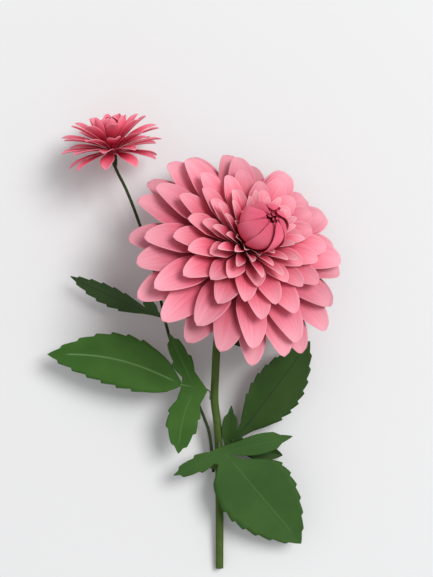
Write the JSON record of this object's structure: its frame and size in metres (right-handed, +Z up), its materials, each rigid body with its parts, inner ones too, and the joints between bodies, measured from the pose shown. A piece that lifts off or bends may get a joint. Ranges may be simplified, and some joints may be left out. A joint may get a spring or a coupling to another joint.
{
  "type": "paper flower",
  "caption": "Cut-paper dahlia spray: a full layered pink bloom and a small crimson one on a side branch, with lobed green leaves on one wrapped stem, lying at rest.",
  "frame": {"origin": "middle of the bounding box at table height, with the flower lying on its petal tips and the cut end of its stem", "axes": "+Y from the stem's cut end towards the flowers, +Z up from the table, +X to the right seen from above"},
  "size_m": [0.2396, 0.3772, 0.118],
  "materials": {
    "outer_petal": "matt card, pale pink at the tips",
    "middle_petal": "matt card, pink",
    "inner_petal": "matt card, pink with pale tips",
    "bud_petal": "matt card, deep pink",
    "small_petal": "matt card, crimson pink",
    "core": "pressed paper, deep pink",
    "leaf": "matt card, leaf green",
    "stem": "paper tape over a rod, olive green",
    "branch": "paper tape over wire, dark green",
    "leaf_wire": "thin painted wire, satin"
  },
  "bodies": {
    "root": {"outer_petals_1": "outer_petal", "outer_petals_2": "outer_petal", "outer_petals_3": "outer_petal", "middle_petals_1": "middle_petal", "middle_petals_2": "middle_petal", "middle_petals_3": "middle_petal", "inner_petals_1": "inner_petal", "inner_petals_2": "inner_petal", "inner_petals_3": "inner_petal", "bud_petals_1": "bud_petal", "bud_petals_2": "bud_petal", "bud_petals_3": "bud_petal", "flower_core": "core", "small_petals_1": "small_petal", "small_petals_2": "small_petal", "small_petals_3": "small_petal", "small_petals_4": "small_petal", "small_petals_5": "small_petal", "small_bud_petals_1": "small_petal", "small_bud_petals_2": "small_petal", "small_flower_core": "core", "small_flower_collar": "branch", "left_leaf": "leaf", "left_leaf_wire": "leaf_wire", "branch_leaf": "leaf", "branch_leaf_wire": "leaf_wire", "upper_right_leaf": "leaf", "upper_right_leaf_wire": "leaf_wire", "lower_right_leaf": "leaf", "lower_right_leaf_wire": "leaf_wire", "back_leaf": "leaf", "back_leaf_wire": "leaf_wire", "main_stem": "stem", "branch_stem": "branch", "stem_binding": "stem"}
  },
  "joints": []
}
